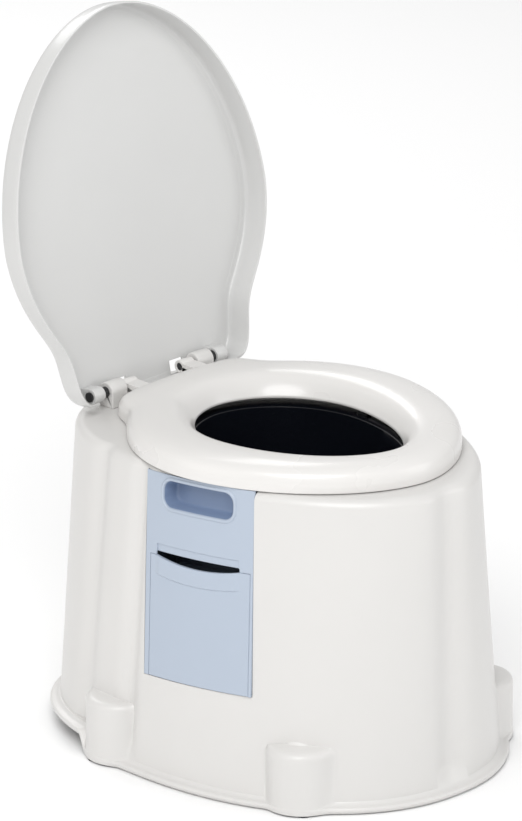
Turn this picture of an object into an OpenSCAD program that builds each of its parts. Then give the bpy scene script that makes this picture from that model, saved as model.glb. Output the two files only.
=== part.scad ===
// Portable camp toilet: moulded outer shell, lift-out bucket, seat, lid and side paper drawer.
// Frame: +Z up, the user faces -Y, origin on the floor under the middle of the whole object.

/* [Overall] */
// Height of the deck, the flat top of the shell
deck_z = 356; // [352:1:360]
// Height of the shell's lower edge, which the rubber pads carry
base_z = 2; // [1:0.5:4]

/* [Shell] */
// Half width of the body at the floor
floor_half_w = 204; // [190:1:220]
// Reach of the body in front of the plan centre, at the floor
floor_front = 275; // [260:1:290]
// Reach of the body behind the plan centre, at the floor
floor_rear = 250; // [240:1:260]
// Half width of the body at the deck
top_half_w = 178; // [174:1:190]
// Reach of the body in front of the plan centre, at the deck
top_front = 270; // [255:1:280]
// Reach of the body behind the plan centre, at the deck
top_rear = 235; // [228:1:245]
// Wall thickness of the shell
shell_wall = 3.5; // [2.5:0.5:5]
// Depth of the flute down the middle of the front
front_flute = 9; // [0:1:14]
// Depth of the two flutes behind the paper panel
side_flute = 6; // [0:1:12]
// Width of the flange around the foot of the shell
flange_w = 10; // [6:1:14]
// Height of the step in the flange behind the rear feet
rear_step = 17; // [0:1:20]
// Radius of the foot buttresses
foot_r = 38.5; // [30:0.5:42]
// Height of the foot buttresses
foot_h = 76; // [60:1:90]

/* [Seat] */
// Height of the seat's underside
seat_bottom_z = 361; // [361:0.5:363]
// Height of the seat's crown
seat_top_z = 386; // [382:0.5:386]
// Half width of the seat
seat_half_w = 181; // [174:1:183]
// Half width of the hole in the seat
hole_half_w = 100; // [90:0.5:105]

/* [Lid] */
// Angle by which the open lid leans back past upright
lid_lean = 10.8; // [5:0.1:14]
// Half width of the lid
lid_half_w = 192; // [189:0.5:194]
// Reach of the lid's tip from the hinge axis
lid_reach = 428; // [426:1:436]
// Thickness of the lid's top and skirt
lid_wall = 3.2; // [2.4:0.1:4]

/* [Hinge] */
// Hinge axis, distance behind the plan centre
hinge_y = 190; // [188:1:194]
// Hinge axis, height above the floor
hinge_z = 374; // [373:0.5:376]
// Radius of the hinge pins
pin_r = 4.5; // [3.5:0.1:5]
// Radial clearance of the arms and ears that turn on the pins
pin_gap = 0.05; // [0.02:0.01:0.1]

/* [Bucket] */
// Depth of the bucket below its rim
bucket_depth = 215; // [180:5:240]
// Wall thickness of the bucket
bucket_wall = 2.5; // [2:0.1:3]

/* [Paper drawer] */
// Width of the side panel
panel_w = 148; // [130:1:150]
// Height of the side panel
panel_h = 234; // [228:1:234]
// Height of the panel's lower edge above the floor
panel_z = 121; // [115:1:122]
// Angle by which the panel faces forward of straight sideways
panel_turn = 7.5; // [5:0.5:10]
// Angle by which the panel leans inward with height
panel_lean = 5.5; // [4:0.5:6]
// Angle by which the panel's upper end is turned toward the rear, in its own plane
panel_roll = 2.5; // [0:0.5:4]
// Radius of the panel's gentle outward curve
panel_curve = 400; // [300:10:600]

/* [Hidden] */

cream = [0.94, 0.93, 0.90];
lid_grey = [0.88, 0.88, 0.87];
panel_blue = [0.77, 0.82, 0.88];
black = [0.05, 0.05, 0.06];
steel = [0.72, 0.73, 0.75];

seat_steps = 96;
lid_steps = 96;
bucket_angles = [for (i = [0 : 71]) i * 5 - 180];

// Plan outlines are radii about a centre. Angle 0 points to the front, 90 to -X, 180 to the rear.

// Radius of a superellipse with half width w and half length l
function oval_r(a, w, l, n) = pow(pow(abs(sin(a)) / w, n) + pow(abs(cos(a)) / l, n), -1 / n);

// Radius of an oval whose front and rear halves have their own length and squareness
function egg_r(a, w, front, rear, n_front, n_rear) =
    cos(a) >= 0 ? oval_r(a, w, front, n_front) : oval_r(a, w, rear, n_rear);

// The larger of two radii, with the corner between them blended
function blend_max(p, q, k) = pow(pow(p, k) + pow(q, k), 1 / k);

// Depth of a flute of a given width at angle a, on both sides of the body
function flute(a, at, depth, width) = depth * exp(-pow((abs(a) - at) / width, 2));

function polar(a, r, z, centre_y) = [-r * sin(a), centre_y - r * cos(a), z];

function angles(steps) = [for (i = [0 : steps - 1]) i * 360 / steps - 180];

// Closed skin through rings of equal length. A ring list with a hole joins its last ring to its first.
module loft(rings, has_hole) {
    n = len(rings[0]);
    m = len(rings);
    points = [for (ring = rings) for (p = ring) p];
    bands = has_hole ? m : m - 1;
    sides = [
        for (i = [0 : bands - 1]) for (j = [0 : n - 1])
            let (k = (j + 1) % n, up = ((i + 1) % m) * n, low = i * n)
            [low + j, low + k, up + k, up + j]
    ];
    caps = has_hole ? [] : [
        [for (j = [0 : n - 1]) n - 1 - j],
        [for (j = [0 : n - 1]) (m - 1) * n + j]
    ];
    polyhedron(points = points, faces = concat(sides, caps), convexity = 10);
}

// Makes its children one closed skin at their own size
module one_skin() {
    resize([0, 0, 0]) children();
}

// ---- Shell ----

flute_side_at = 101;
flute_rear_at = 122;
foot_places = [[142, -177], [181, 68]];
deck_round = 11;

// Angles of the shell's rings: close together where a flute or a foot has to be drawn
half_angles = concat(
    [for (a = [0 : 1.5 : 12]) a], [for (a = [15 : 3 : 93]) a],
    [for (a = [95 : 1.5 : 128]) a], [for (a = [130 : 3 : 178]) a]);
shell_angles = concat([for (i = [len(half_angles) - 1 : -1 : 1]) -half_angles[i]], half_angles, [180]);

// Squareness of the front and rear of the wall's outline, at the floor and at the deck
floor_square = [2.18, 2.6];
top_square = [1.9, 2.6];
// Height at which the tapered wall reaches its deck outline
taper_z = 345;

function floor_r(a) =
    egg_r(a, floor_half_w, floor_front, floor_rear, floor_square[0], floor_square[1]);
function top_r(a) =
    egg_r(a, top_half_w, top_front, top_rear, top_square[0], top_square[1]);

function wall_r(a, z) = floor_r(a) + (top_r(a) - floor_r(a)) * z / taper_z
    - flute(a, 0, front_flute, 4.5)
    - flute(a, flute_side_at, side_flute, 3.5)
    - flute(a, flute_rear_at, side_flute, 4);

step_from = 115;
step_over = 4;

// Share of the rear step at angle a, from 0 beside the rear feet to 1 behind them
function step_share(a) = max(0, min(1, (abs(a) - step_from) / step_over));

function wall_ring(inset, z) = [for (a = shell_angles) polar(a, wall_r(a, z) - inset, z, 0)];

// Ring near the floor, which rises over the rear step
function low_ring(outset, z) = [
    for (a = shell_angles) polar(a, floor_r(a) + outset, z + rear_step * step_share(a), 0)
];

// Hole and bucket outlines share one egg, grown outward by a margin
hole_y = -20;
hole_front = 151;
hole_rear = 114;
hole_square = 1.88;

function hole_r(a, grow) =
    egg_r(a, hole_half_w, hole_front, hole_rear, hole_square, hole_square) + grow;

function hole_ring(at, grow, z) = [for (a = at) polar(a, hole_r(a, grow), z, hole_y)];

opening_grow = 7;
ledge_grow = 26;
ledge_z = deck_z - 8;

module foot_post(r, low, high, round_h) {
    for (side = [-1, 1]) for (p = foot_places)
        translate([side * p[0], p[1], low]) {
            cylinder(r = r, h = high - low - round_h, $fn = 48);
            translate([0, 0, high - low - round_h])
                cylinder(r1 = r, r2 = r - round_h, h = round_h, $fn = 48);
        }
}

module shell_skin() {
    loft([
        low_ring(flange_w - 1.5, base_z),
        low_ring(flange_w, base_z + 2),
        low_ring(flange_w, base_z + 5),
        low_ring(flange_w - 2, base_z + 9),
        low_ring(2, base_z + 12),
        wall_ring(0, base_z + 40),
        wall_ring(0, 200),
        wall_ring(0, deck_z - 12),
        wall_ring(3.5, deck_z - 3),
        wall_ring(deck_round, deck_z),
        hole_ring(shell_angles, ledge_grow, deck_z),
        hole_ring(shell_angles, ledge_grow, ledge_z),
        hole_ring(shell_angles, opening_grow, ledge_z),
        hole_ring(shell_angles, opening_grow, ledge_z - shell_wall),
        hole_ring(shell_angles, ledge_grow + 3, ledge_z - shell_wall),
        hole_ring(shell_angles, ledge_grow + 3, deck_z - shell_wall),
        wall_ring(deck_round + 1, deck_z - shell_wall),
        wall_ring(shell_wall, deck_z - 13),
        wall_ring(shell_wall, 200),
        wall_ring(shell_wall, base_z + 40),
        low_ring(-shell_wall, base_z + 12),
        low_ring(-shell_wall, base_z)
    ], true);
}

module outer_shell() {
    color(cream) one_skin()
    difference() {
        union() {
            shell_skin();
            difference() {
                foot_post(foot_r, base_z, foot_h, 4);
                loft([wall_ring(shell_wall, -1), wall_ring(shell_wall, foot_h + 1)], false);
            }
        }
        foot_post(foot_r - shell_wall, base_z - 1, foot_h - shell_wall, 4);
        at_panel() translate([-panel_w / 2 - panel_gap, -40, -panel_gap])
            cube([panel_w + 2 * panel_gap, 80, panel_h + 2 * panel_gap]);
    }
}

// Rubber pads under the outer end of each foot
pad_shift = 30;

module rubber_pads() {
    color(black)
    for (side = [-1, 1]) for (p = foot_places)
        let (q = p * (1 + pad_shift / norm(p)))
        translate([side * q[0], q[1], 0]) cylinder(r = 8, h = base_z, $fn = 48);
}

// ---- Bucket ----

bucket_rim_z = ledge_z + 2.8;
bucket_skin = 4.5;
flange_grow = 24;

module bucket() {
    bottom_z = bucket_rim_z - bucket_depth;
    color(black)
    loft([
        hole_ring(bucket_angles, -26, bottom_z),
        hole_ring(bucket_angles, -18, bottom_z + 3),
        hole_ring(bucket_angles, -13, bottom_z + 14),
        hole_ring(bucket_angles, bucket_skin, ledge_z - 12),
        hole_ring(bucket_angles, bucket_skin, ledge_z + 0.2),
        hole_ring(bucket_angles, flange_grow, ledge_z + 0.2),
        hole_ring(bucket_angles, flange_grow, bucket_rim_z - 0.6),
        hole_ring(bucket_angles, flange_grow - 0.6, bucket_rim_z),
        hole_ring(bucket_angles, bucket_skin - bucket_wall + 1, bucket_rim_z),
        hole_ring(bucket_angles, bucket_skin - bucket_wall, bucket_rim_z - 1),
        hole_ring(bucket_angles, bucket_skin - bucket_wall, ledge_z - 12),
        hole_ring(bucket_angles, -13 - bucket_wall, bottom_z + 15),
        hole_ring(bucket_angles, -28, bottom_z + bucket_wall)
    ], false);
}

// Wire bail, stored flat on the bucket's rim around the front
bail_grow = 16;
bail_wire_r = 2;
bail_grip_r = 3.7;
bail_z = bucket_rim_z + bail_grip_r + 0.2;
bail_lug_x = hole_half_w + bail_grow;

// Tube around the egg between two angles, with flat ends
module rim_tube(a_from, a_to, steps, r) {
    ring = [
        for (i = [0 : steps])
            let (a = a_from + (a_to - a_from) * i / steps)
            [for (j = [0 : 9])
                polar(a, hole_r(a, bail_grow) + r * cos(j * 36), bail_z + r * sin(j * 36), hole_y)]
    ];
    loft(ring, false);
}

module bucket_bail() {
    color(steel) rim_tube(-86.5, 86.5, 48, bail_wire_r);
}

module bail_grip() {
    color(black) rim_tube(-20, 20, 16, bail_grip_r);
}

module bail_lugs() {
    color(black)
    for (side = [-1, 1])
        translate([side * bail_lug_x - 4, hole_y - 10.5, bucket_rim_z])
            cube([8, 15, bail_z - bucket_rim_z + 3.5]);
}

// ---- Hinge ----

post_x = 56;
post_w = 24;
post_r = 11;
arm_x = 35;
arm_w = 19;
arm_r = 7.5;
ear_x = 88;
ear_w = 16;
ear_r = 9;
collar_gap = 0.2;
pin_head_t = 1.8;

module at_hinge() {
    translate([0, hinge_y, hinge_z]) children();
}

// Cylinder along X that starts at x
module axle(x, length, r) {
    translate([x, 0, 0]) rotate([0, 90, 0]) cylinder(r = r, h = length, $fn = 64);
}

module hinge_post() {
    difference() {
        union() {
            axle(post_x, post_w, post_r);
            translate([post_x, -post_r, deck_z - hinge_z])
                cube([post_w, 2 * post_r, hinge_z - deck_z]);
        }
        axle(post_x - 1, post_w + 2, pin_r);
    }
}

module hinge_post_left() {
    color(cream) at_hinge() hinge_post();
}

module hinge_post_right() {
    color(cream) at_hinge() mirror([1, 0, 0]) hinge_post();
}

module hinge_post_screws() {
    color(steel)
    for (side = [-1, 1]) for (dx = [6, 18])
        translate([side * (post_x + dx), hinge_y, deck_z - shell_wall]) {
            translate([0, 0, -2.5]) cylinder(r = 3.6, h = 2.5, $fn = 32);
            cylinder(r = 1.7, h = 12, $fn = 32);
        }
}

module hinge_pin() {
    axle(arm_x + 1, ear_x + ear_w - arm_x, pin_r);
    axle(ear_x + ear_w + 0.6, pin_head_t, pin_r + 1.2);
}

module hinge_pin_left() {
    color(black) at_hinge() hinge_pin();
}

module hinge_pin_right() {
    color(black) at_hinge() mirror([1, 0, 0]) hinge_pin();
}

module hinge_collars() {
    color(black) at_hinge()
    for (side = [0, 1]) mirror([side, 0, 0])
        difference() {
            axle(post_x + post_w, ear_x - post_x - post_w - collar_gap, 6.5);
            axle(post_x, ear_x - post_x, pin_r);
        }
}

// ---- Seat ----

seat_y = -20;
seat_front = 214;
seat_rear = 176;
seat_square = [1.8, 2.05];
seat_tail_half_w = 100;
seat_tail = 185;

function seat_r(a) = blend_max(
    egg_r(a, seat_half_w, seat_front, seat_rear, seat_square[0], seat_square[1]),
    cos(a) < 0 ? oval_r(a, seat_tail_half_w, seat_tail, 9) : 1, 14);

// Ring a share u of the way from the hole to the rim
function seat_loop(u, z) = [
    for (a = angles(seat_steps))
        polar(a, hole_r(a, 0), z, hole_y) * (1 - u) + polar(a, seat_r(a), z, seat_y) * u
];

// Section of the seat: share of the way out, and how far up from underside to crown
seat_section = [
    [1, 0], [1, 0.22], [0.985, 0.45], [0.94, 0.7], [0.84, 0.88], [0.68, 0.98], [0.5, 1],
    [0.36, 0.98], [0.25, 0.9], [0.15, 0.7], [0.07, 0.43], [0.02, 0.2], [0, 0.1], [0, 0]
];

module seat_ring() {
    color(cream)
    loft([
        for (s = seat_section)
            let (z = seat_bottom_z + s[1] * (seat_top_z - seat_bottom_z))
            seat_loop(s[0], z)
    ], true);
}

bumper_angles = [35, 100];
bumper_lift = 0.3;

module seat_bumpers() {
    color(black)
    for (side = [-1, 1]) for (a = bumper_angles)
        translate(polar(side * a, hole_r(a, ledge_grow + 13), deck_z + bumper_lift, hole_y))
            cylinder(r = 7, h = seat_bottom_z - deck_z - bumper_lift, $fn = 32);
}

arm_front = 42;
arm_low = 7;
arm_high = 5;

module seat_arm() {
    difference() {
        union() {
            axle(arm_x, arm_w, arm_r);
            translate([arm_x, -arm_front, -arm_low]) cube([arm_w, arm_front, arm_low + arm_high]);
        }
        axle(arm_x - 1, arm_w + 2, pin_r + pin_gap);
    }
}

module seat_arm_left() {
    color(cream) at_hinge() seat_arm();
}

module seat_arm_right() {
    color(cream) at_hinge() mirror([1, 0, 0]) seat_arm();
}

module seat_arm_screws() {
    color(steel)
    for (side = [-1, 1])
        translate([side * (arm_x + arm_w / 2), hinge_y - arm_front + 7, seat_bottom_z - 2])
            union() {
                cylinder(r = 4, h = 2, $fn = 32);
                cylinder(r = 1.8, h = 14, $fn = 32);
            }
}

// ---- Lid ----
// The lid is drawn closed, with its origin on the hinge axis, and then swung open.

lid_y = -185.5;
lid_inner_z = 14;
lid_outer_z = lid_inner_z + lid_wall;
lid_rim_z = -17;
lid_tail = 13;
lid_tab_half_w = 136;
lid_rear = 191;
lid_square = [1.87, 1.89];

function lid_r(a) = blend_max(
    egg_r(a, lid_half_w, lid_reach + lid_y, lid_rear, lid_square[0], lid_square[1]),
    cos(a) < 0 ? oval_r(a, lid_tab_half_w, lid_tail - lid_y, 10) : 1, 18);

function lid_ring(inset, z) = [for (a = angles(lid_steps)) polar(a, lid_r(a) - inset, z, lid_y)];

module lid_place() {
    at_hinge() rotate([-90 - lid_lean, 0, 0]) children();
}

notch_x = arm_x - 3;
notch_w = arm_w + 6;
notch_front = 9;
hinge_zone_low = 32;
hinge_zone_high = 107;
tail_sweep_r = 17;

module lid_shell() {
    color(lid_grey) one_skin() lid_place()
    difference() {
        loft([
            lid_ring(lid_wall + 3, lid_inner_z),
            lid_ring(lid_wall, lid_inner_z - 3),
            lid_ring(lid_wall - 0.4, lid_rim_z + 0.6),
            lid_ring(lid_wall - 1, lid_rim_z),
            lid_ring(0.6, lid_rim_z),
            lid_ring(0, lid_rim_z + 0.6),
            lid_ring(1.5, lid_outer_z - 12),
            lid_ring(4, lid_outer_z - 5),
            lid_ring(9, lid_outer_z - 1),
            lid_ring(16, lid_outer_z)
        ], false);
        for (side = [0, 1]) mirror([side, 0, 0])
            translate([notch_x, -notch_front, lid_inner_z - 1])
                cube([notch_w, notch_front + lid_tail + 5, lid_wall + 2]);
        for (side = [0, 1]) mirror([side, 0, 0])
            translate([hinge_zone_low, -1, lid_rim_z - 5])
                cube([hinge_zone_high - hinge_zone_low, lid_tail + 5, lid_inner_z - lid_rim_z + 5]);
        difference() {
            translate([-200, 0, lid_rim_z - 5]) cube([400, lid_tail + 5, 5 - lid_rim_z]);
            axle(-200, 400, tail_sweep_r);
        }
    }
}

module lid_ear() {
    difference() {
        union() {
            axle(ear_x, ear_w, ear_r);
            translate([ear_x, -ear_r, 0]) cube([ear_w, 2 * ear_r, lid_inner_z]);
        }
        axle(ear_x - 1, ear_w + 2, pin_r + pin_gap);
    }
}

module lid_ear_left() {
    color(lid_grey) lid_place() lid_ear();
}

module lid_ear_right() {
    color(lid_grey) lid_place() mirror([1, 0, 0]) lid_ear();
}

// ---- Paper panel and drawer ----
// Panel frame: X runs forward along the wall, -Y points out of the wall, Z runs up the panel.

panel_x = -185.4;
panel_y = -59.5;
plate_t = 3;
panel_bulge = panel_curve - sqrt(panel_curve * panel_curve - panel_w * panel_w / 4);
stile_w = 7;
panel_gap = 0.4;
door_low = 3;
slot_half_w = 57.5;
slot_low = 133;
slot_top = 143.5;
bevel_top = 153;
door_gap = 0.4;
door_lip = 1.6;
door_lip_low = 115;

module at_panel() {
    translate([panel_x, panel_y, panel_z]) rotate([0, 0, panel_turn - 90])
        rotate([-panel_lean, 0, 0]) rotate([0, -panel_roll, 0]) children();
}

// Solid that fills the inside of the panel's curve, shrunk by inset
module curve_core(inset, low, high) {
    translate([0, panel_curve - panel_bulge, low])
        cylinder(r = panel_curve - inset, h = high - low, $fn = 360);
}

// Curved plate between two depths below the panel's face
module curve_plate(x_low, x_high, z_low, z_high, near, far) {
    intersection() {
        difference() {
            curve_core(near, z_low, z_high);
            curve_core(far, z_low - 1, z_high + 1);
        }
        translate([x_low, -panel_bulge - 5, z_low])
            cube([x_high - x_low, panel_bulge + 25, z_high - z_low]);
    }
}

grip_w = 94;
grip_h = 32;
grip_x = 2;
grip_z = 212;
grip_depth = 24;
grip_wall = 2.2;

// Slot shape with round ends, standing out along Y
module stadium(w, h, y_low, y_high) {
    translate([grip_x, y_high, grip_z]) rotate([90, 0, 0]) linear_extrude(y_high - y_low) {
        square([w - h, h], center = true);
        for (side = [-1, 1]) translate([side * (w - h) / 2, 0]) circle(d = h, $fn = 64);
    }
}

module panel_frame() {
    color(panel_blue) at_panel()
    difference() {
        curve_plate(-panel_w / 2, panel_w / 2, 0, panel_h, 0, plate_t);
        translate([stile_w - panel_w / 2, -20, door_low])
            cube([panel_w - 2 * stile_w, 40, slot_low - door_low]);
        translate([-slot_half_w, -20, slot_low - 1])
            cube([2 * slot_half_w, 40, slot_top - slot_low + 1]);
        curve_plate(-slot_half_w, slot_half_w, slot_top - 1, bevel_top, -5, 1.5);
        stadium(grip_w, grip_h, -20, 20);
    }
}

module grip_cup() {
    color(panel_blue) at_panel()
    difference() {
        union() {
            intersection() {
                stadium(grip_w + 9, grip_h + 9, -20, 20);
                curve_plate(-panel_w / 2, panel_w / 2, 0, panel_h, -1.4, 0);
            }
            intersection() {
                stadium(grip_w, grip_h, -20, grip_depth);
                curve_core(0, 0, panel_h);
            }
        }
        stadium(grip_w - 2 * grip_wall, grip_h - 2 * grip_wall, -21, grip_depth - grip_wall);
    }
}

housing_half_w = 70.5;
housing_wall = 2;
housing_back = 49;
housing_low = 0.5;
housing_top = 146;

module paper_housing() {
    color(panel_blue) at_panel()
    intersection() {
        curve_core(plate_t, housing_low, housing_top);
        difference() {
            translate([-housing_half_w, -panel_bulge, housing_low])
                cube([2 * housing_half_w, housing_back + panel_bulge, housing_top - housing_low]);
            translate([housing_wall - housing_half_w, -panel_bulge - 1, housing_low + housing_wall])
                cube([
                    2 * (housing_half_w - housing_wall),
                    housing_back + panel_bulge + 1 - housing_wall,
                    housing_top - housing_low - 2 * housing_wall
                ]);
        }
    }
}

module panel_screws() {
    color(steel) at_panel()
    for (x = [-66, 66]) for (z = [162, 220])
        translate([x, 0, z]) rotate([-90, 0, 0]) {
            translate([0, 0, 5]) cylinder(r = 3.5, h = 2.4, $fn = 32);
            cylinder(r = 1.6, h = 5, $fn = 32);
        }
}

module paper_door() {
    door_half_w = panel_w / 2 - stile_w - door_gap;
    color(panel_blue) at_panel()
    union() {
        curve_plate(-door_half_w, door_half_w, door_low + door_gap, slot_low - door_gap, 0, plate_t);
        curve_plate(-slot_half_w, slot_half_w, door_lip_low, slot_low - door_gap, -door_lip, 0.5);
    }
}

bin_half_w = 64;
bin_wall = 2;
bin_back = 43;
bin_low = 7;
bin_top = 122;

module paper_bin() {
    color(panel_blue) at_panel()
    intersection() {
        curve_core(plate_t, bin_low, bin_top);
        difference() {
            translate([-bin_half_w, -panel_bulge, bin_low])
                cube([2 * bin_half_w, bin_back + panel_bulge, bin_top - bin_low]);
            translate([bin_wall - bin_half_w, -panel_bulge - 1, bin_low + bin_wall])
                cube([
                    2 * (bin_half_w - bin_wall),
                    bin_back + panel_bulge + 1 - bin_wall,
                    bin_top
                ]);
        }
    }
}

// Small blocks across the drawer's back corners, which meet the panel frame before it comes right out
module drawer_stops() {
    color(panel_blue) at_panel()
    for (side = [-1, 1])
        translate([side * (bin_half_w - 0.9) - 5, bin_back, 60]) cube([10, 3, 12]);
}

outer_shell();
rubber_pads();
bucket();
bail_lugs();
bucket_bail();
bail_grip();
hinge_post_left();
hinge_post_right();
hinge_post_screws();
hinge_pin_left();
hinge_pin_right();
hinge_collars();
seat_ring();
seat_bumpers();
seat_arm_left();
seat_arm_right();
seat_arm_screws();
lid_shell();
lid_ear_left();
lid_ear_right();
panel_frame();
grip_cup();
paper_housing();
panel_screws();
paper_door();
paper_bin();
drawer_stops();
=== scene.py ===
import math

import bmesh
import bpy
import numpy as np
from mathutils import Matrix, Vector


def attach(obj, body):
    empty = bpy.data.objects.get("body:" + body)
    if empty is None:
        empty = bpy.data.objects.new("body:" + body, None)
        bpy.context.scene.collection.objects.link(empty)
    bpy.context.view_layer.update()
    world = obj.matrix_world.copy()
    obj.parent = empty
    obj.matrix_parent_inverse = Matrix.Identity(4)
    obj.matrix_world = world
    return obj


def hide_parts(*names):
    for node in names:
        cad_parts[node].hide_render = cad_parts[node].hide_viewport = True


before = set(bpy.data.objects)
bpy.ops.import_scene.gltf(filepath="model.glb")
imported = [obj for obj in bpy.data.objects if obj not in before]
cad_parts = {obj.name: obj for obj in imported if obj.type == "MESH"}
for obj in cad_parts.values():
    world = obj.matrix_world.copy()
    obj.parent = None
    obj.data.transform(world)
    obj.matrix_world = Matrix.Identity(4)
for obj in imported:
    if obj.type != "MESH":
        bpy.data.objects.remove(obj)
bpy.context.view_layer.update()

# ---- Driving sizes, in millimetres and degrees ----
# An egg outline is a half width, a reach in front, a reach behind, and an exponent for each.

MM = 0.001

# Shell
DECK_Z = 356.0
BASE_Z = 2.0
TAPER_Z = 345.0
FLOOR_EGG = (204, 275, 250, 2.18, 2.6)
TOP_EGG = (178, 270, 235, 1.9, 2.6)
SHELL_WALL = 3.5
DECK_ROUND = 11.0
# Each flute: degrees from the front, depth, and spread in degrees
FLUTES = ((0, 9, 4.5), (101, 6, 3.5), (122, 6, 4))
FLANGE_W = 10.0
BEAD_R = 3.2
BEAD_Z = 3.6
HOLLOW_W = 7.5
HOLLOW_H = 4.0
REAR_STEP = 17.0
STEP_FROM = 115
STEP_OVER = 4
SHELL_STEPS = 960
PART_STEPS = 480
FOOT_R = 38.0
FOOT_H = 76.0
FOOT_ROUND = 8.0
FOOT_SIDE_TOP = 66.0
# The larger this is, the smaller the rounding where a foot meets the wall
FOOT_BLEND = 60
FOOT_PLACES = [(142.0, -177.0), (181.0, 68.0)]

# Hole and bucket
HOLE_Y = -20.0
HOLE_EGG = (100, 151, 114, 1.88, 1.88)
OPENING_GROW = 7.0
LEDGE_GROW = 26.0
LEDGE_Z = DECK_Z - 8.0
BUCKET_RIM_Z = LEDGE_Z + 2.8
BUCKET_DEPTH = 215.0
BAIL_GROW = 16.0
BAIL_LIFT = 3.9
BAIL_REACH = 86.5
BAIL_R = 2.0
HAND_GRIP_REACH = 20.0

# Seat
SEAT_Y = -20.0
SEAT_EGG = (181, 214, 176, 1.8, 2.05)
SEAT_TAIL_HALF_W = 100.0
SEAT_TAIL = 185.0
SEAT_BOTTOM = 361.0
SEAT_TOP = 386.0
# Height of the outer lip, as a share of the seat's thickness
SEAT_LIP = -0.15

# Hinge and lid. The lid's heights and depths are measured from the hinge axis, with it closed.
HINGE_Y = 190.0
HINGE_Z = 374.0
LID_LEAN = 10.8
LID_Y = -185.5
LID_EGG = (192, 428 + LID_Y, 191, 1.87, 1.89)
LID_TAB_HALF_W = 136.0
LID_TAIL = 13.0
LID_WALL = 3.2
LID_INNER_Z = 14.0
LID_OUTER_Z = LID_INNER_Z + LID_WALL
LID_RIM_Z = -17.0
# Openings in the lid's tail: one for each seat arm, and room for the posts, ears and collars
NOTCH_X = (34, 55)
NOTCH_Y = (-6.5, 9)
HINGE_ROOM_X = (32, 107)
HINGE_ROOM_FRONT = -1
TAIL_SWEEP_R = 17.0
LID_CUT_X = 200.0
LID_CUT_MARGIN = 5.0

# Paper panel
PANEL_PLACE = (-185.4, -59.5, 121.0)
PANEL_TURN = 7.5
PANEL_LEAN = 5.5
PANEL_ROLL = 2.5
PANEL_W = 148.0
PANEL_H = 234.0
PANEL_CURVE = 400.0
PANEL_GAP = 0.4
WINDOW_REACH = 40.0
PLATE_T = 3.0
PLATE_EDGE = 0.5
LEFT_STILE = 7.0
RIGHT_STILE = 3.0
SLOT_HALF_W = 57.5
SLOT_TOP = 144.0
BEVEL_TOP = 153.0
BEVEL_FRONT = -4.0
BEVEL_TOP_DEPTH = 1.3
BEVEL_LOW_DEPTH = 2.3
DOOR_GAP = 0.4
DOOR_TOP = 140.0
DOOR_EDGE = 0.8
DOOR_LIP = 1.6
DOOR_LIP_LOW = 119.0
DOOR_DIP = 6.5
DIP_FROM = 80.0
DIP_OVER = 50.0
GRIP_X = 0.5
GRIP_Z = 212.0
GRIP_W = 96.0
GRIP_H = 31.0
GRIP_CORNER = 12.0
CORNER_STEPS = 14
GRIP_DEPTH = 24.0
# Depths between which the panel's cutters run
CUT_NEAR = -5.0
CUT_FAR = 9.0
# Width of the strips across a bowed piece
SLICE = 4
# Depth behind the panel's face past which the grip recess takes a darker blue: painted shade
PAINTED_SHADE_FROM = 1.2

# ---- Plan outlines: radius at an angle, 0 at the front and positive towards -X ----


def oval(a, half_w, reach, n):
    """Superellipse with exponent n."""
    return (np.abs(np.sin(a) / half_w) ** n + np.abs(np.cos(a) / reach) ** n) ** (-1.0 / n)


def egg(a, half_w, front, rear, n_front, n_rear):
    """Front and rear halves of two superellipses of one width."""
    ahead = oval(a, half_w, front, n_front)
    behind = oval(a, half_w, rear, n_rear)
    return np.where(np.cos(a) >= 0, ahead, behind)


def blend_max(p, q, k):
    """The larger of two radii, with the corner between them rounded."""
    big = np.maximum(p, q)
    return big * ((p / big) ** k + (q / big) ** k) ** (1.0 / k)


def with_tail(a, outline, half_w, reach, square, k):
    """An outline with a squarish tail joined on behind."""
    tail = np.where(np.cos(a) < 0, oval(a, half_w, reach, square), 1.0)
    return blend_max(outline, tail, k)


def flute(a, at, depth, spread):
    return depth * np.exp(-(((np.abs(np.degrees(a)) - at) / spread) ** 2))


def smooth_step(t):
    return t * t * (3 - 2 * t)


def polar(a, r, z, centre_y):
    """Points on a ring, in metres."""
    z = np.broadcast_to(z, a.shape)
    return np.stack([-r * np.sin(a), centre_y - r * np.cos(a), z], axis=1) * MM


def ring_angles(steps):
    """Evenly spaced angles, all the way round from the rear."""
    return np.arange(steps) * 2 * math.pi / steps - math.pi


# ---- Mesh helpers ----


def new_object(name, mesh):
    obj = bpy.data.objects.new(name, mesh)
    bpy.context.scene.collection.objects.link(obj)
    return obj


def finish_mesh(name, bm):
    """Closes a mesh up, turns its faces outward and makes an object of it."""
    bmesh.ops.remove_doubles(bm, verts=bm.verts, dist=1e-7)
    bmesh.ops.recalc_face_normals(bm, faces=bm.faces)
    mesh = bpy.data.meshes.new(name)
    bm.to_mesh(mesh)
    bm.free()
    mesh.shade_smooth()
    return new_object(name, mesh)


def loft(name, rings, loops_back=False, cap_first=False, cap_last=False):
    """Quads between rings of equal length. With loops_back the last ring joins the first."""
    bm = bmesh.new()
    rows = [[bm.verts.new(p) for p in ring] for ring in rings]
    pairs = list(zip(rows, rows[1:])) + ([(rows[-1], rows[0])] if loops_back else [])
    count = len(rows[0])
    for low, high in pairs:
        for j in range(count):
            k = (j + 1) % count
            bm.faces.new((low[j], low[k], high[k], high[j]))
    if cap_first:
        bm.faces.new(rows[0][::-1])
    if cap_last:
        bm.faces.new(rows[-1])
    return finish_mesh(name, bm)


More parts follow.
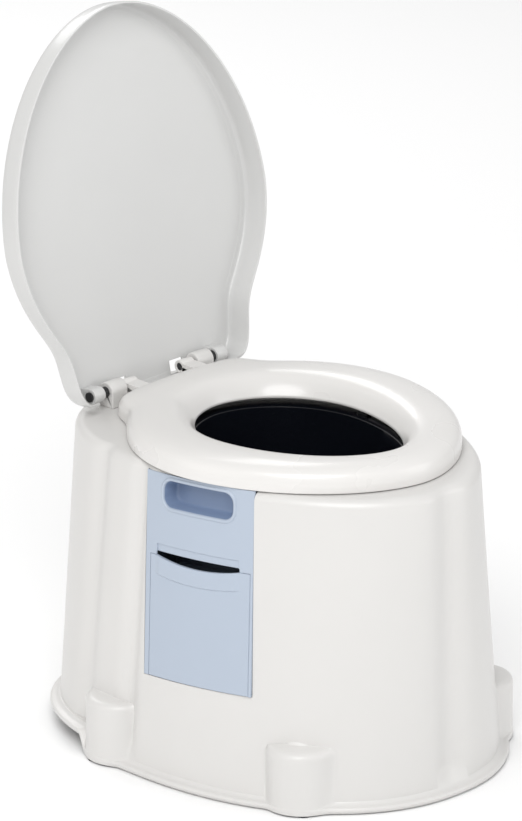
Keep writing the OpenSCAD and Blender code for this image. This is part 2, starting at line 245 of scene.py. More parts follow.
def curve_through(points, steps):
    """Catmull-Rom curve through points, open, with the given steps to each span."""
    pts = np.array(points, float)
    padded = np.vstack([2 * pts[0] - pts[1], pts, 2 * pts[-1] - pts[-2]])
    out = []
    for i in range(len(pts) - 1):
        p0, p1, p2, p3 = padded[i : i + 4]
        for t in np.arange(steps) / steps:
            out.append(
                0.5
                * (
                    2 * p1
                    + (p2 - p0) * t
                    + (2 * p0 - 5 * p1 + 4 * p2 - p3) * t**2
                    + (3 * p1 - p0 - 3 * p2 + p3) * t**3
                )
            )
    out.append(pts[-1])
    return np.array(out)


def box_object(name, low, high, matrix=Matrix.Identity(4)):
    """Box between two corners, which cuts a hole or is cut to shape later."""
    bm = bmesh.new()
    bmesh.ops.create_cube(bm, size=1.0)
    size = [(h - l) * MM for l, h in zip(low, high)]
    centre = [(h + l) / 2 * MM for l, h in zip(low, high)]
    fit = matrix @ Matrix.Translation(centre) @ Matrix.Diagonal((*size, 1))
    bmesh.ops.transform(bm, matrix=fit, verts=bm.verts)
    return finish_mesh(name, bm)


def cut(obj, cutters):
    """Takes the cutters away from obj, and deletes them."""
    for cutter in cutters:
        boolean = obj.modifiers.new("cut", "BOOLEAN")
        boolean.object = cutter
        boolean.operation = "DIFFERENCE"
        boolean.solver = "EXACT"
    apply_modifiers(obj)
    for cutter in cutters:
        bpy.data.objects.remove(cutter)


def apply_modifiers(obj):
    graph = bpy.context.evaluated_depsgraph_get()
    mesh = bpy.data.meshes.new_from_object(obj.evaluated_get(graph))
    obj.modifiers.clear()
    obj.data = mesh


def sharp_by_angle(obj, degrees):
    """Smooth shading, with edges sharper than the angle left crisp."""
    obj.data.shade_smooth()
    obj.data.set_sharp_from_angle(angle=math.radians(degrees))


# ---- Materials ----


def new_material(name):
    """A node material, with its shader and its object coordinates."""
    mat = bpy.data.materials.new(name)
    mat.use_nodes = True
    coords = mat.node_tree.nodes.new("ShaderNodeTexCoord")
    return mat, mat.node_tree.nodes["Principled BSDF"], coords.outputs["Object"]


def noise(mat, where, scale, detail):
    node = mat.node_tree.nodes.new("ShaderNodeTexNoise")
    node.inputs["Scale"].default_value = scale
    node.inputs["Detail"].default_value = detail
    mat.node_tree.links.new(where, node.inputs["Vector"])
    return node.outputs["Fac"]


def add_bump(mat, height, strength, distance, under=None):
    """Bump from a height, on top of another normal if one is given."""
    node = mat.node_tree.nodes.new("ShaderNodeBump")
    node.inputs["Strength"].default_value = strength
    node.inputs["Distance"].default_value = distance
    mat.node_tree.links.new(height, node.inputs["Height"])
    if under:
        mat.node_tree.links.new(under, node.inputs["Normal"])
    return node.outputs["Normal"]


def vary_gloss(mat, shader, by, low, high):
    node = mat.node_tree.nodes.new("ShaderNodeMapRange")
    node.inputs["To Min"].default_value = low
    node.inputs["To Max"].default_value = high
    mat.node_tree.links.new(by, node.inputs["Value"])
    mat.node_tree.links.new(node.outputs["Result"], shader.inputs["Roughness"])


def plastic(name, base, rough, grain=0.1, coat=0.0, tint=0.03):
    """Moulded plastic: faint mottling, uneven gloss, a fine grain and slow waves."""
    mat, shader, where = new_material(name)
    links = mat.node_tree.links
    mottle = noise(mat, where, 9.0, 4.0)
    ramp = mat.node_tree.nodes.new("ShaderNodeValToRGB")
    dark, light = ramp.color_ramp.elements
    dark.position = 0.15
    dark.color = (*[c * (1 - tint) for c in base], 1)
    light.position = 0.85
    light.color = (*base, 1)
    links.new(mottle, ramp.inputs["Fac"])
    links.new(ramp.outputs["Color"], shader.inputs["Base Color"])
    vary_gloss(mat, shader, mottle, rough - 0.04, rough + 0.06)
    waves = add_bump(mat, noise(mat, where, 14.0, 1.0), 0.02, 0.01)
    surface = add_bump(mat, noise(mat, where, 900.0, 2.0), grain, 0.0004, waves)
    links.new(surface, shader.inputs["Normal"])
    shader.inputs["Coat Weight"].default_value = coat
    shader.inputs["Coat Roughness"].default_value = 0.12
    shader.inputs["IOR"].default_value = 1.49
    return mat


def metal(name, base, rough):
    """Plated steel with fine scratches along one direction."""
    mat, shader, where = new_material(name)
    shader.inputs["Base Color"].default_value = (*base, 1)
    shader.inputs["Metallic"].default_value = 1.0
    stretch = mat.node_tree.nodes.new("ShaderNodeMapping")
    stretch.inputs["Scale"].default_value = (1.0, 1.0, 12.0)
    mat.node_tree.links.new(where, stretch.inputs["Vector"])
    scratches = noise(mat, stretch.outputs["Vector"], 300.0, 2.0)
    vary_gloss(mat, shader, scratches, rough - 0.08, rough + 0.1)
    surface = add_bump(mat, scratches, 0.15, 0.0002)
    mat.node_tree.links.new(surface, shader.inputs["Normal"])
    return mat


shell_mat = plastic("shell_white", (0.665, 0.655, 0.64), 0.36, grain=0.12, coat=0.15)
seat_mat = plastic("seat_white", (0.725, 0.712, 0.695), 0.27, grain=0.05, coat=0.3)
lid_mat = plastic("lid_white", (0.62, 0.62, 0.613), 0.3, grain=0.05, coat=0.25)
panel_mat = plastic("panel_blue", (0.42, 0.48, 0.57), 0.38, grain=0.15, coat=0.1)
# Darker copy of the panel blue for the grip recess's deep faces: painted shade, not a colour of
# the plastic
painted_shade_pocket_mat = plastic("panel_blue_pocket_painted_shade", (0.22, 0.29, 0.43), 0.42, grain=0.2)
# The panel blue darkened almost to black for the housing, bin and stops behind the slot: painted
# shade
painted_shade_inside_mat = plastic("panel_blue_inside_painted_shade", (0.12, 0.15, 0.20), 0.45, grain=0.2)
bucket_mat = plastic("bucket_black", (0.004, 0.005, 0.008), 0.22, grain=0.08, coat=0.3, tint=0.3)
black_mat = plastic("hinge_black", (0.012, 0.012, 0.014), 0.3, grain=0.1, tint=0.3)
rubber_mat = plastic("rubber_dark", (0.03, 0.03, 0.032), 0.75, grain=0.4, tint=0.3)
steel_mat = metal("plated_steel", (0.66, 0.67, 0.69), 0.3)


def paint(obj, mat):
    obj.data.materials.clear()
    obj.data.materials.append(mat)


def place(obj, body, mat, slot_name, *nodes):
    """Gives a new piece its material and body, and hides what it stands for. The slot name is not
    used.
    """
    paint(obj, mat)
    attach(obj, body)
    if nodes:
        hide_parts(*nodes)


# ---- Camera, in metres ----

CAMERA_PLACE = Vector((-6.3715, -6.3542, 3.6907))
CAMERA_RIGHT = Vector((0.70655, -0.70765, -0.00365))
CAMERA_UP = Vector((0.24679, 0.24156, 0.93848))
CAMERA_FORWARD = Vector((0.66323, 0.66399, -0.34532))
SENSOR_W = 36.0
FOCAL_PIXELS = 8636.9
FRAME_PIXELS = 522.0


def make_camera():
    camera = bpy.data.objects.new("camera", bpy.data.cameras.new("camera"))
    bpy.context.scene.collection.objects.link(camera)
    turn = Matrix((CAMERA_RIGHT, CAMERA_UP, -CAMERA_FORWARD)).transposed().to_4x4()
    camera.matrix_world = Matrix.Translation(CAMERA_PLACE) @ turn
    camera.data.sensor_width = SENSOR_W
    camera.data.sensor_fit = "HORIZONTAL"
    camera.data.lens = SENSOR_W * FOCAL_PIXELS / FRAME_PIXELS
    camera.data.clip_start = 1.0
    camera.data.clip_end = 40.0
    camera.data.dof.use_dof = False
    bpy.context.scene.camera = camera


# ---- Shell ----


def floor_r(a):
    return egg(a, *FLOOR_EGG)


def top_r(a):
    return egg(a, *TOP_EGG)


def wall_r(a, z):
    r = floor_r(a) + (top_r(a) - floor_r(a)) * z / TAPER_Z
    for at, depth, spread in FLUTES:
        r = r - flute(a, at, depth, spread)
    return r


def foot_reach(a, radius):
    """Distance to the far side of each foot, or a small value at angles that miss the feet."""
    out = np.full(a.shape, 1.0)
    for x, y in FOOT_PLACES:
        for side in (-1, 1):
            at = math.atan2(-side * x, -y)
            dist = math.hypot(x, y)
            across = dist * np.sin(a - at)
            along = dist * np.cos(a - at)
            hit = (np.abs(across) < radius) & (along > 0)
            reach = along + np.sqrt(np.clip(radius**2 - across**2, 0, None))
            out = np.where(hit, np.maximum(out, reach), out)
    return out


def step_share(a):
    """How much of the rear step in the flange applies at each angle, from 0 to 1."""
    return smooth_step(np.clip((np.abs(np.degrees(a)) - STEP_FROM) / STEP_OVER, 0, 1))


def hole_r(a, grow):
    return egg(a, *HOLE_EGG) + grow


def hole_ring(a, grow, z):
    return polar(a, hole_r(a, grow), z, HOLE_Y)


def flange_ring(a, outset, z):
    wide = floor_r(a) + outset
    r = blend_max(wide, foot_reach(a, FOOT_R), FOOT_BLEND)
    return polar(a, r, z + REAR_STEP * step_share(a), 0)


def wall_ring(a, z, foot_radius=0.0, inset=0.0):
    r = wall_r(a, z)
    if foot_radius > 0:
        r = blend_max(r, foot_reach(a, foot_radius), FOOT_BLEND)
    return polar(a, r - inset, z, 0)


def cos_sin(degrees):
    """Cosine and sine of an angle in degrees."""
    return math.cos(math.radians(degrees)), math.sin(math.radians(degrees))


def outer_rings(a):
    """The shell's outside, from the floor up to the deck's rounded edge."""
    rings = [flange_ring(a, FLANGE_W - 1.8, BASE_Z)]
    for t in np.linspace(-60, 90, 7):
        c, s = cos_sin(t)
        rings.append(flange_ring(a, FLANGE_W - BEAD_R + BEAD_R * c, BASE_Z + BEAD_Z + BEAD_R * s))
    # The foot of the wall leaves the flange in a small hollow curve
    for t in (0.35, 0.7, 1.0):
        z = BASE_Z + BEAD_Z + BEAD_R + HOLLOW_H * t**3
        rings.append(flange_ring(a, FLANGE_W - BEAD_R - HOLLOW_W * t, z))
    for z in (30, 36, 42, 50, 58, 64, FOOT_SIDE_TOP):
        rings.append(wall_ring(a, z, FOOT_R))
    for t in (20, 40, 60, 80):
        c, s = cos_sin(t)
        radius = FOOT_R - FOOT_ROUND + FOOT_ROUND * c
        rings.append(wall_ring(a, FOOT_SIDE_TOP + FOOT_ROUND * s, radius))
    # The foot's top closes in towards the wall, with a slight crown
    for i, radius in enumerate((29, 26, 23, 20, 17, 14, 10, 6)):
        rings.append(wall_ring(a, FOOT_H - 1.6 + 0.3 * i, radius))
    for z in list(range(80, 336, 8)) + [338]:
        rings.append(wall_ring(a, z))
    for t in np.linspace(10, 90, 9):
        c, s = cos_sin(t)
        z = DECK_Z - DECK_ROUND + DECK_ROUND * s
        rings.append(wall_ring(a, z, inset=DECK_ROUND * (1 - c)))
    return rings


def deck_rings(a):
    """The deck from its edge in to the bucket's ledge, through the opening and back underneath."""
    profile = (
        (LEDGE_GROW + 3, DECK_Z),
        (LEDGE_GROW + 1, DECK_Z),
        (LEDGE_GROW + 0.2, DECK_Z - 0.8),
        (LEDGE_GROW, DECK_Z - 2),
        (LEDGE_GROW, LEDGE_Z),
        (OPENING_GROW + 0.8, LEDGE_Z),
        (OPENING_GROW, LEDGE_Z - 0.8),
        (OPENING_GROW, LEDGE_Z - SHELL_WALL),
        (LEDGE_GROW + 3, LEDGE_Z - SHELL_WALL),
        (LEDGE_GROW + 3, DECK_Z - SHELL_WALL),
    )
    return [hole_ring(a, grow, z) for grow, z in profile]


def inner_rings(a):
    """The shell's inside, from under the deck down to the floor."""
    rings = [
        wall_ring(a, DECK_Z - SHELL_WALL, inset=DECK_ROUND + 1),
        wall_ring(a, DECK_Z - DECK_ROUND - 2, inset=SHELL_WALL),
    ]
    for z in (250, 160, 84):
        rings.append(wall_ring(a, z, inset=SHELL_WALL))
    rings.append(wall_ring(a, FOOT_H - SHELL_WALL, 20, SHELL_WALL))
    rings.append(wall_ring(a, 60, FOOT_R, SHELL_WALL))
    rings.append(wall_ring(a, 32, FOOT_R, SHELL_WALL))
    rings.append(flange_ring(a, -SHELL_WALL, BASE_Z))
    return rings


def build_shell():
    a = ring_angles(SHELL_STEPS)
    shell = loft("shell", outer_rings(a) + deck_rings(a) + inner_rings(a), loops_back=True)
    half = PANEL_W / 2 + PANEL_GAP
    low = (-half, -WINDOW_REACH, -PANEL_GAP)
    high = (half, WINDOW_REACH, PANEL_H + PANEL_GAP)
    cut(shell, [box_object("window", low, high, panel_matrix())])
    sharp_by_angle(shell, 32)
    place(shell, "root", shell_mat, "shell_plastic", "outer_shell")


def panel_matrix():
    """From the panel's own axes, with X forward, -Y outward and Z up, to the object's."""
    shift = Matrix.Translation(Vector(PANEL_PLACE) * MM)
    turn = Matrix.Rotation(math.radians(PANEL_TURN - 90), 4, "Z")
    lean = Matrix.Rotation(math.radians(-PANEL_LEAN), 4, "X")
    roll = Matrix.Rotation(math.radians(-PANEL_ROLL), 4, "Y")
    return shift @ turn @ lean @ roll


# ---- Bucket ----


def build_bucket():
    """Each point of the profile is a distance beyond the hole's outline and a height."""
    bottom = BUCKET_RIM_Z - BUCKET_DEPTH
    outside = [(-26, bottom), (-18, bottom + 3), (-13, bottom + 14), (-4, 250)]
    inside = [(-6.5, 250), (-15.5, bottom + 15), (-21, bottom + 5), (-28, bottom + 2.5)]
    profile = [tuple(p) for p in curve_through(outside, 5)]
    profile += [(4.5, LEDGE_Z - 12), (4.5, LEDGE_Z + 0.2)]
    profile += [(23.6, LEDGE_Z + 0.2), (24, LEDGE_Z + 0.8), (24, BUCKET_RIM_Z - 0.8)]
    profile += [(23.6, BUCKET_RIM_Z - 0.2), (23, BUCKET_RIM_Z), (4.5, BUCKET_RIM_Z)]
    profile += [(3.0, BUCKET_RIM_Z - 0.3), (2.2, BUCKET_RIM_Z - 1.2), (2.0, LEDGE_Z - 12)]
    profile += [tuple(p) for p in curve_through(inside, 5)]
    a = ring_angles(PART_STEPS)
    rings = [hole_ring(a, grow, z) for grow, z in profile]
    bucket = loft("bucket_body", rings, cap_first=True, cap_last=True)
    sharp_by_angle(bucket, 40)
    place(bucket, "root", bucket_mat, "bucket_plastic", "bucket")


def rim_tube(name, reach, steps, radii):
    """Tube round the bucket's rim, as far as reach degrees either way from the front.
    Its radii are given at equal shares of the way along."""
    shares = np.linspace(0, 1, steps)
    angles = np.radians(-reach + 2 * reach * shares)
    sizes = np.interp(shares, np.linspace(0, 1, len(radii)), radii)
    turn = np.linspace(0, 2 * math.pi, 20, endpoint=False)
    rings = []
    for at, size in zip(angles, sizes):
        line = np.full(turn.shape, at)
        r = hole_r(line, BAIL_GROW) + size * np.cos(turn)
        z = BUCKET_RIM_Z + BAIL_LIFT + size * np.sin(turn)
        rings.append(polar(line, r, z, HOLE_Y))
    return loft(name, rings, cap_first=True, cap_last=True)


def build_bail():
    wire = rim_tube("bail_wire", BAIL_REACH, 160, [BAIL_R, BAIL_R])
    sharp_by_angle(wire, 40)
    place(wire, "root", steel_mat, "steel", "bucket_bail")
    ribs = [3.7, 3.7, 3.2] * 12
    grip = rim_tube("bail_hand_grip", HAND_GRIP_REACH, 145, [2.4, 3.4] + ribs + [3.7, 3.4, 2.4])
    sharp_by_angle(grip, 50)
    place(grip, "root", black_mat, "black_plastic", "bail_grip")


# ---- Seat ----


def seat_outline(a):
    return with_tail(a, egg(a, *SEAT_EGG), SEAT_TAIL_HALF_W, SEAT_TAIL, 9, 14)


def seat_loop(a, share, z):
    """Ring a share of the way from the hole to the rim."""
    inner = hole_ring(a, 0, z)
    outer = polar(a, seat_outline(a), z, SEAT_Y)
    return inner * (1 - share) + outer * share


def build_seat():
    """Sections give the share of the way out, and the height as a share of the thickness."""
    upper = [
        (1, SEAT_LIP + 0.03), (1, 0.0), (1, 0.22), (0.985, 0.45), (0.94, 0.7),
        (0.84, 0.88), (0.68, 0.98), (0.5, 1), (0.36, 0.98), (0.25, 0.9),
        (0.15, 0.7), (0.07, 0.43), (0.02, 0.2), (0.003, 0.1), (0.003, 0.02),
    ]
    # The underside is a shallow trough between an inner and an outer lip
    under = [
        (0.008, 0), (0.03, 0), (0.05, 0.03), (0.12, 0.22), (0.25, 0.32), (0.5, 0.34),
        (0.88, 0.3), (0.91, 0.22), (0.93, SEAT_LIP + 0.02), (0.95, SEAT_LIP), (0.99, SEAT_LIP),
    ]
    loops = [tuple(p) for p in curve_through(upper, 4)] + under
    height = SEAT_TOP - SEAT_BOTTOM
    a = ring_angles(PART_STEPS)
    rings = [seat_loop(a, share, SEAT_BOTTOM + up * height) for share, up in loops]
    seat = loft("seat_body", rings, loops_back=True)
    sharp_by_angle(seat, 50)
    place(seat, "seat", seat_mat, "seat_plastic", "seat_ring")


# ---- Lid, made closed about the hinge axis and then swung open ----


def lid_outline(a):
    return with_tail(a, egg(a, *LID_EGG), LID_TAB_HALF_W, LID_TAIL - LID_Y, 10, 18)


def lid_matrix():
    shift = Matrix.Translation(Vector((0, HINGE_Y, HINGE_Z)) * MM)
    return shift @ Matrix.Rotation(math.radians(-90 - LID_LEAN), 4, "X")


def hinge_cylinder(radius, half_length):
    """Cylinder along the hinge axis."""
    bm = bmesh.new()
    bmesh.ops.create_cone(
        bm,
        cap_ends=True,
        segments=96,
        radius1=radius * MM,
        radius2=radius * MM,
        depth=2 * half_length * MM,
        matrix=Matrix.Rotation(math.radians(90), 4, "Y"),
    )
    return finish_mesh("hinge_cylinder", bm)


def lid_profile():
    """From the inside's middle out and down to the rim, then up the outside to the top's middle.
    Each point is a distance in from the outline and a height above the hinge axis."""
    inside = [
        (0.0, LID_INNER_Z),
        (LID_WALL + 9, LID_INNER_Z),
        (LID_WALL + 3, LID_INNER_Z - 0.8),
        (LID_WALL + 0.6, LID_INNER_Z - 4),
    ]
    outside = [
        (0.3, LID_RIM_Z + 8),
        (1.5, LID_OUTER_Z - 12),
        (4, LID_OUTER_Z - 5),
        (9, LID_OUTER_Z - 1.2),
        (16, LID_OUTER_Z),
    ]
    # The first span of the inside curve only sets the direction in which it starts
    profile = [tuple(p) for p in curve_through(inside, 5)[5:]]
    profile += [
        (LID_WALL, LID_INNER_Z - 8),
        (LID_WALL - 0.3, LID_RIM_Z + 1.2),
        (LID_WALL - 0.9, LID_RIM_Z + 0.2),
        (LID_WALL - 1.6, LID_RIM_Z),
        (0.9, LID_RIM_Z),
        (0.25, LID_RIM_Z + 0.3),
        (0, LID_RIM_Z + 1.2),
    ]
    profile += [tuple(p) for p in curve_through(outside, 5)]
    return profile + [(60, LID_OUTER_Z)]


def lid_cutters():
    cutters = []
    rear = LID_TAIL + LID_CUT_MARGIN
    under = LID_RIM_Z - LID_CUT_MARGIN
    for side in (-1, 1):
        low, high = sorted(side * x for x in NOTCH_X)
        front_low = (low, NOTCH_Y[0], LID_INNER_Z - 1)
        cutters.append(box_object("notch", front_low, (high, NOTCH_Y[1], LID_OUTER_Z + 2)))
        low, high = sorted(side * x for x in HINGE_ROOM_X)
        front_low = (low, HINGE_ROOM_FRONT, under)
        cutters.append(box_object("hinge_room", front_low, (high, rear, LID_INNER_Z)))
    # The tail's skirt is rounded about the hinge axis, so that it clears the deck
    sweep = box_object("sweep", (-LID_CUT_X, 0, under), (LID_CUT_X, rear, 0))
    cut(sweep, [hinge_cylinder(TAIL_SWEEP_R, LID_CUT_X + LID_CUT_MARGIN)])
    return cutters + [sweep]


def build_lid():
    a = ring_angles(PART_STEPS)
    rings = [polar(a, lid_outline(a) - inset, z, LID_Y) for inset, z in lid_profile()]
    lid = loft("lid_body", rings, cap_first=True, cap_last=True)
    cut(lid, lid_cutters())
    lid.data.transform(lid_matrix())
    sharp_by_angle(lid, 35)
    place(lid, "lid", lid_mat, "lid_plastic", "lid_shell")


# ---- Paper panel: made flat, with X forward and Z up, then bowed and set in the wall ----


def bow(x):
    """How far a point at x stands out of the chord of the bowed face."""
    half = PANEL_W / 2
    edge = math.sqrt(PANEL_CURVE**2 - half**2)
    return np.sqrt(PANEL_CURVE**2 - np.asarray(x, float) ** 2) - edge


def set_in_wall(obj):
    """Bows a flat piece outward and moves it to its place in the shell."""
    matrix = panel_matrix()
    for vertex in obj.data.vertices:
        flat = vertex.co / MM
        flat.y -= float(bow(flat.x))
        vertex.co = matrix @ (flat * MM)
    obj.data.update()


def slice_across(obj, step):
    """Extra edges every step across the piece, so that it can bow smoothly."""
    bm = bmesh.new()
    bm.from_mesh(obj.data)
    xs = [v.co.x / MM for v in bm.verts]
    for x in np.arange(math.ceil(min(xs) / step) * step, max(xs), step):
        parts = bm.verts[:] + bm.edges[:] + bm.faces[:]
        at = (x * MM, 0, 0)
        bmesh.ops.bisect_plane(bm, geom=parts, plane_co=at, plane_no=(1, 0, 0), dist=1e-7)
    bm.to_mesh(obj.data)
    bm.free()


def even_normals(obj):
    obj.data.shade_smooth()
    weighted = obj.modifiers.new("even_normals", "WEIGHTED_NORMAL")
    weighted.weight = 100
    weighted.keep_sharp = True


def round_rect(width, height, corner, grow):
    """Outline of a rounded rectangle in X and Z, with its corners evenly stepped."""
    radius = max(corner + grow, 0.4)
    half_w = width / 2 + grow - radius
    half_h = height / 2 + grow - radius
    points = []
    for i, (sx, sz) in enumerate(((1, 1), (-1, 1), (-1, -1), (1, -1))):
        for t in np.linspace(i * 90, i * 90 + 90, CORNER_STEPS):
            c, s = cos_sin(t)
            points.append((sx * half_w + radius * c, sz * half_h + radius * s))
    return points


def grip_rings(name, profile):
    """Loft about the grip's outline. Each point of the profile is how far the outline is
    grown, and a depth behind the panel's face."""
    rings = []
    for grow, depth in profile:
        outline = round_rect(GRIP_W, GRIP_H, GRIP_CORNER, grow)
        rings.append([Vector((x + GRIP_X, depth, z + GRIP_Z)) * MM for x, z in outline])
    return loft(name, rings, cap_first=True, cap_last=True)


def bevel_cutter():
    """Wedge that slopes the panel's face in above the slot."""
    scoop = box_object("scoop", (-SLOT_HALF_W + 1, 0, 0), (SLOT_HALF_W - 1, 1, 1))
    for vertex in scoop.data.vertices:
        top = vertex.co.z > 0.5 * MM
        back = vertex.co.y > 0.5 * MM
        depth = BEVEL_FRONT
        if back:
            depth = BEVEL_TOP_DEPTH if top else BEVEL_LOW_DEPTH
        vertex.co.y = depth * MM
        vertex.co.z = (BEVEL_TOP if top else SLOT_TOP - 1) * MM
    return scoop


def build_panel_plate():
    half = PANEL_W / 2
    plate = box_object("panel_plate", (-half, 0, 0), (half, PLATE_T, PANEL_H))
    door_low = (LEFT_STILE - half, CUT_NEAR, CUT_NEAR)
    slot_low = (-SLOT_HALF_W, CUT_NEAR, DOOR_TOP - 1)
    cutters = [
        box_object("door_way", door_low, (half - RIGHT_STILE, CUT_FAR, DOOR_TOP)),
        box_object("slot", slot_low, (SLOT_HALF_W, CUT_FAR, SLOT_TOP)),
        grip_rings("grip_hole", [(0, CUT_NEAR), (0, CUT_FAR)]),
    ]
    cut(plate, cutters)
    cut(plate, [bevel_cutter()])
    bevel = plate.modifiers.new("edges", "BEVEL")
    bevel.width = PLATE_EDGE * MM
    bevel.segments = 3
    bevel.limit_method = "ANGLE"
    bevel.angle_limit = math.radians(35)
    apply_modifiers(plate)
    slice_across(plate, SLICE)
    set_in_wall(plate)
    even_normals(plate)
    place(plate, "root", panel_mat, "panel_plastic", "panel_frame")


def build_grip():
    back = [(-4.5, GRIP_DEPTH), (-2.0, GRIP_DEPTH - 0.6), (-0.6, GRIP_DEPTH - 2.5)]
    outside = [(-0.1, 12.0), (-0.05, 3.0), (-0.05, 0.6)]
    bead = [
        (4.2, 0.3), (4.0, -0.2), (3.3, -0.9), (2.4, -1.35),
        (1.4, -1.35), (0.6, -1.0), (0.0, -0.2), (-0.4, 1.0),
    ]
    pocket = [(-0.8, 4.0), (-1.6, 12.0), (-2.2, 18.0), (-2.8, 20.0), (-4.2, 21.3), (-6.5, 21.8)]
    cup = grip_rings("grip_pocket", back + outside + bead + pocket)
    slice_across(cup, SLICE)
    # Faces deeper than this take the darker blue, which paints the shade inside the recess
    painted_shade_faces = [face.index for face in cup.data.polygons if face.center.y > PAINTED_SHADE_FROM * MM]
    set_in_wall(cup)
    sharp_by_angle(cup, 55)
    place(cup, "root", panel_mat, "panel_plastic", "grip_cup")
    cup.data.materials.append(painted_shade_pocket_mat)
    for index in painted_shade_faces:
        cup.data.polygons[index].material_index = 1


def rounded_lines(low, high, step):
    """Grid lines from low to high that crowd together where the door's edge is rounded."""
    edge = [0, 0.12 * DOOR_EDGE, 0.35 * DOOR_EDGE, 0.65 * DOOR_EDGE, DOOR_EDGE]
    middle = list(np.arange(low + DOOR_EDGE + step, high - DOOR_EDGE - step / 2, step))
    return np.array([low + e for e in edge] + middle + [high - e for e in reversed(edge)])


def door_face(x, z, border, top):
    """Depth of the door's face: rounded at its border, with a raised lip below the slot."""
    y = DOOR_EDGE - math.sqrt(max(DOOR_EDGE**2 - (DOOR_EDGE - border) ** 2, 0))
    rise = smooth_step(np.clip((z - DOOR_LIP_LOW + 0.9) / 1.6, 0, 1))
    side = smooth_step(np.clip((SLOT_HALF_W - abs(x)) / 5.0, 0, 1))
    fade = 1 - 0.35 * (z - DOOR_LIP_LOW) / (top - DOOR_LIP_LOW)
    return y - DOOR_LIP * rise * side * fade


def door_dip(x, z):
    """How far the door's upper part sags in the middle, which opens the slot to a lens."""
    share = float(np.clip((z - DIP_FROM) / DIP_OVER, 0, 1))
    return DOOR_DIP * max(0.0, 1 - (x / SLOT_HALF_W) ** 2) * share


def join_grids(bm, front, back):
    """Faces over two grids of vertices and round their edges."""
    rows = range(len(front) - 1)
    columns = range(len(front[0]) - 1)
    for j in rows:
        for i in columns:
            near = (front[j][i], front[j][i + 1], front[j + 1][i + 1], front[j + 1][i])
            far = (back[j][i], back[j + 1][i], back[j + 1][i + 1], back[j][i + 1])
            bm.faces.new(near)
            bm.faces.new(far)
    for i in columns:
        bm.faces.new((front[0][i], back[0][i], back[0][i + 1], front[0][i + 1]))
        bm.faces.new((front[-1][i], front[-1][i + 1], back[-1][i + 1], back[-1][i]))
    for j in rows:
        bm.faces.new((front[j][0], front[j + 1][0], back[j + 1][0], back[j][0]))
        bm.faces.new((front[j][-1], back[j][-1], back[j + 1][-1], front[j + 1][-1]))


def build_door():
    half = PANEL_W / 2
    left, right = LEFT_STILE + DOOR_GAP - half, half - RIGHT_STILE - DOOR_GAP
    low, high = DOOR_GAP, DOOR_TOP - DOOR_GAP
    lip_lines = DOOR_LIP_LOW + np.array([-1.2, -0.9, -0.5, -0.1, 0.3, 0.7, 1.2, 2.0])
    xs = rounded_lines(left, right, 2.0)
    zs = np.unique(np.concatenate([rounded_lines(low, high, 2.5), lip_lines]))
    bm = bmesh.new()
    front, back = [], []
    for z in zs:
        front.append([])
        back.append([])
        for x in xs:
            border = min(x - left, right - x, z - low, high - z, DOOR_EDGE)
            y = door_face(x, z, border, high)
            drop = z - door_dip(x, z)
            front[-1].append(bm.verts.new(Vector((x, y, drop)) * MM))
            back[-1].append(bm.verts.new(Vector((x, PLATE_T, drop)) * MM))
    join_grids(bm, front, back)
    door = finish_mesh("drawer_door", bm)
    set_in_wall(door)
    sharp_by_angle(door, 60)
    place(door, "drawer", panel_mat, "panel_plastic", "paper_door")


# ---- CAD pieces that stay, with softened edges ----


def soften(node, mat, width):
    """Rounds a part's edges by a width, and gives it its material."""
    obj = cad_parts[node]
    weld = obj.modifiers.new("weld", "WELD")
    weld.merge_threshold = 1e-6
    bevel = obj.modifiers.new("soft_edges", "BEVEL")
    bevel.width = width * MM
    bevel.segments = 3
    bevel.limit_method = "ANGLE"
    bevel.angle_limit = math.radians(35)
    bevel.harden_normals = True
    paint(obj, mat)


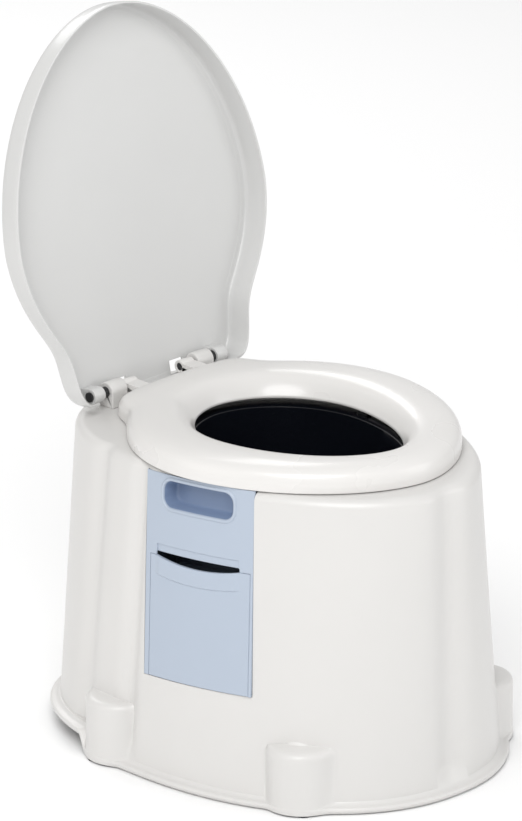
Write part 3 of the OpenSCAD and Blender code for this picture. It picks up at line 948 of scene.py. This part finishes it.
def soften_cad_nodes():
    for node in ("hinge_post_left", "hinge_post_right"):
        soften(node, shell_mat, 1.5)
    for node in ("seat_arm_left", "seat_arm_right"):
        soften(node, seat_mat, 1.2)
    for node in ("lid_ear_left", "lid_ear_right"):
        soften(node, lid_mat, 1.0)
    for node in ("hinge_pin_left", "hinge_pin_right", "hinge_collars"):
        soften(node, black_mat, 0.6)
    for node in ("rubber_pads", "seat_bumpers"):
        soften(node, rubber_mat, 0.5)
    for node in ("hinge_post_screws", "seat_arm_screws", "panel_screws"):
        soften(node, steel_mat, 0.4)
    soften("bail_lugs", bucket_mat, 1.0)
    # The parts behind the panel get the darkened blue, painted shade
    for node in ("paper_housing", "paper_bin", "drawer_stops"):
        soften(node, painted_shade_inside_mat, 0.4)


# ---- Stage ----


def area_light(name, location, target, size, energy, colour=(1, 1, 1)):
    light = bpy.data.lights.new(name, "AREA")
    light.shape = "DISK"
    light.size = size
    light.energy = energy
    light.color = colour
    obj = bpy.data.objects.new(name, light)
    obj.location = location
    aim = Vector(target) - Vector(location)
    obj.rotation_euler = aim.to_track_quat("-Z", "Y").to_euler()
    bpy.context.scene.collection.objects.link(obj)


def build_floor():
    bm = bmesh.new()
    bmesh.ops.create_grid(bm, x_segments=1, y_segments=1, size=14.0)
    floor = finish_mesh("floor", bm)
    mat = bpy.data.materials.new("floor")
    mat.use_nodes = True
    shader = mat.node_tree.nodes["Principled BSDF"]
    shader.inputs["Base Color"].default_value = (0.93, 0.93, 0.93, 1)
    shader.inputs["Roughness"].default_value = 0.9
    paint(floor, mat)


def build_lights():
    area_light("key", (-2.2, -1.6, 3.0), (0, 0, 0.35), 2.4, 82)
    area_light("fill", (1.8, -3.2, 1.6), (0, 0, 0.3), 2.8, 24)
    area_light("side", (-3.6, 1.0, 1.3), (0, 0, 0.3), 2.6, 10, (1.0, 0.95, 0.88))
    area_light("back", (1.2, 2.6, 2.6), (0, 0, 0.4), 2.2, 36)
    world = bpy.data.worlds.new("world")
    world.use_nodes = True
    world.node_tree.nodes["Background"].inputs["Color"].default_value = (1, 1, 1, 1)
    world.node_tree.nodes["Background"].inputs["Strength"].default_value = 0.62
    bpy.context.scene.world = world
    bpy.context.scene.view_settings.view_transform = "Standard"


make_camera()
build_floor()
build_lights()
build_shell()
build_bucket()
build_bail()
build_seat()
build_lid()
build_panel_plate()
build_grip()
build_door()
soften_cad_nodes()
